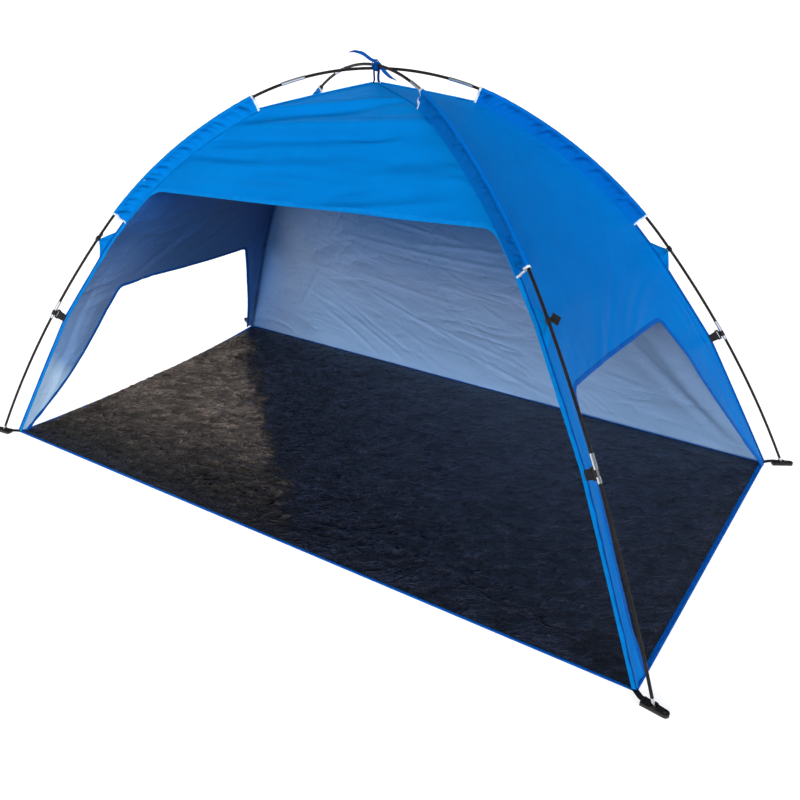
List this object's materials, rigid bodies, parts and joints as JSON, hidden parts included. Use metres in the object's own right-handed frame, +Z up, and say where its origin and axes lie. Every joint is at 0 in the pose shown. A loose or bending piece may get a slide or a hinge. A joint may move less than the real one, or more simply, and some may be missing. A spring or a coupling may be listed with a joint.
{
  "type": "beach shelter tent",
  "caption": "Open-fronted beach shelter: fabric canopy with end windows and groundsheet, hung under two crossed shock-corded fibreglass poles.",
  "frame": {"origin": "on the ground under the crossing of the poles, at the centre of the floor", "axes": "+X along the open front to the right as seen from outside the entrance, +Y from the entrance to the back wall, +Z up"},
  "size_m": [2.3626, 1.2868, 1.2489],
  "materials": {
    "canopy_cloth": "satin polyester with a silver inner coating",
    "groundsheet": "crinkled woven polyethylene",
    "binding_tape": "woven tape",
    "mouth_tape": "woven tape",
    "tie_tape": "woven tape",
    "webbing": "woven webbing",
    "pole_rod": "pultruded fibreglass, semi-gloss",
    "ferrule_steel": "bright zinc",
    "shock_cord": "braided cover",
    "fitting_plastic": "moulded, satin"
  },
  "bodies": {
    "shelter": {"groundsheet": "groundsheet", "floor_binding": "binding_tape", "front_panel": "canopy_cloth", "back_panel": "canopy_cloth", "left_panel": "canopy_cloth", "right_panel": "canopy_cloth", "entrance_hem": "binding_tape", "left_window_hem": "binding_tape", "right_window_hem": "binding_tape", "sleeve_front_left": "canopy_cloth", "sleeve_front_right": "canopy_cloth", "sleeve_back_left": "canopy_cloth", "sleeve_back_right": "canopy_cloth", "sleeve_mouth_hems": "mouth_tape", "pole_a_centre_section": "pole_rod", "pole_a_upper_section_front": "pole_rod", "pole_a_middle_section_front": "pole_rod", "pole_a_lower_section_front": "pole_rod", "pole_a_upper_section_back": "pole_rod", "pole_a_middle_section_back": "pole_rod", "pole_a_lower_section_back": "pole_rod", "pole_a_ferrules": "ferrule_steel", "pole_a_tips": "ferrule_steel", "pole_a_shock_cord": "shock_cord", "pole_b_centre_section": "pole_rod", "pole_b_upper_section_front": "pole_rod", "pole_b_middle_section_front": "pole_rod", "pole_b_lower_section_front": "pole_rod", "pole_b_upper_section_back": "pole_rod", "pole_b_middle_section_back": "pole_rod", "pole_b_lower_section_back": "pole_rod", "pole_b_ferrules": "ferrule_steel", "pole_b_tips": "ferrule_steel", "pole_b_shock_cord": "shock_cord", "hook_gussets": "canopy_cloth", "clip_webbings": "webbing", "foot_webbings": "webbing", "apex_tie": "tie_tape"},
    "shoe_front_left": {"pole_shoe_front_left": "fitting_plastic"},
    "shoe_front_right": {"pole_shoe_front_right": "fitting_plastic"},
    "shoe_back_left": {"pole_shoe_back_left": "fitting_plastic"},
    "shoe_back_right": {"pole_shoe_back_right": "fitting_plastic"},
    "clip_front_left": {"lower_clip_front_left": "fitting_plastic"},
    "clip_front_right": {"lower_clip_front_right": "fitting_plastic"},
    "clip_back_left": {"lower_clip_back_left": "fitting_plastic"},
    "clip_back_right": {"lower_clip_back_right": "fitting_plastic"},
    "hook_front_left": {"upper_hook_front_left": "fitting_plastic"},
    "hook_front_right": {"upper_hook_front_right": "fitting_plastic"},
    "hook_back_left": {"upper_hook_back_left": "fitting_plastic"},
    "hook_back_right": {"upper_hook_back_right": "fitting_plastic"}
  },
  "joints": [
    {"name": "shoe_swivel_front_left", "type": "hinge", "parent": "shelter", "child": "shoe_front_left", "pos_m": [-1.14481, -0.62444, 0.00702], "axis": [0, 0, 1], "range_deg": [-20, 20]},
    {"name": "shoe_swivel_front_right", "type": "hinge", "parent": "shelter", "child": "shoe_front_right", "pos_m": [1.14481, -0.62444, 0.00702], "axis": [0, 0, 1], "range_deg": [-20, 20]},
    {"name": "shoe_swivel_back_left", "type": "hinge", "parent": "shelter", "child": "shoe_back_left", "pos_m": [-1.14481, 0.62444, 0.00702], "axis": [0, 0, 1], "range_deg": [-20, 20]},
    {"name": "shoe_swivel_back_right", "type": "hinge", "parent": "shelter", "child": "shoe_back_right", "pos_m": [1.14481, 0.62444, 0.00702], "axis": [0, 0, 1], "range_deg": [-20, 20]},
    {"name": "clip_turn_front_left", "type": "hinge", "parent": "shelter", "child": "clip_front_left", "pos_m": [-0.91808, -0.50077, 0.44756], "axis": [-0.4943, -0.2696, -0.8264], "range_deg": [-20, 20]},
    {"name": "clip_turn_front_right", "type": "hinge", "parent": "shelter", "child": "clip_front_right", "pos_m": [0.91765, -0.50053, 0.4554], "axis": [0.4918, -0.2683, -0.8283], "range_deg": [-20, 20]},
    {"name": "clip_turn_back_left", "type": "hinge", "parent": "shelter", "child": "clip_back_left", "pos_m": [-0.91765, 0.50053, 0.4554], "axis": [-0.4918, 0.2683, -0.8283], "range_deg": [-20, 20]},
    {"name": "clip_turn_back_right", "type": "hinge", "parent": "shelter", "child": "clip_back_right", "pos_m": [0.91808, 0.50077, 0.44756], "axis": [0.4943, 0.2696, -0.8264], "range_deg": [-20, 20]},
    {"name": "hook_turn_front_left", "type": "hinge", "parent": "shelter", "child": "hook_front_left", "pos_m": [-0.75797, -0.41344, 0.69316], "axis": [-0.5516, -0.3009, -0.7779], "range_deg": [-15, 15]},
    {"name": "hook_turn_front_right", "type": "hinge", "parent": "shelter", "child": "hook_front_right", "pos_m": [0.7324, -0.39949, 0.73697], "axis": [0.5599, -0.3054, -0.7702], "range_deg": [-15, 15]},
    {"name": "hook_turn_back_left", "type": "hinge", "parent": "shelter", "child": "hook_back_left", "pos_m": [-0.7469, 0.4074, 0.71688], "axis": [-0.555, 0.3027, -0.7748], "range_deg": [-15, 15]},
    {"name": "hook_turn_back_right", "type": "hinge", "parent": "shelter", "child": "hook_back_right", "pos_m": [0.75023, 0.40922, 0.70404], "axis": [0.5541, 0.3023, -0.7756], "range_deg": [-15, 15]}
  ]
}
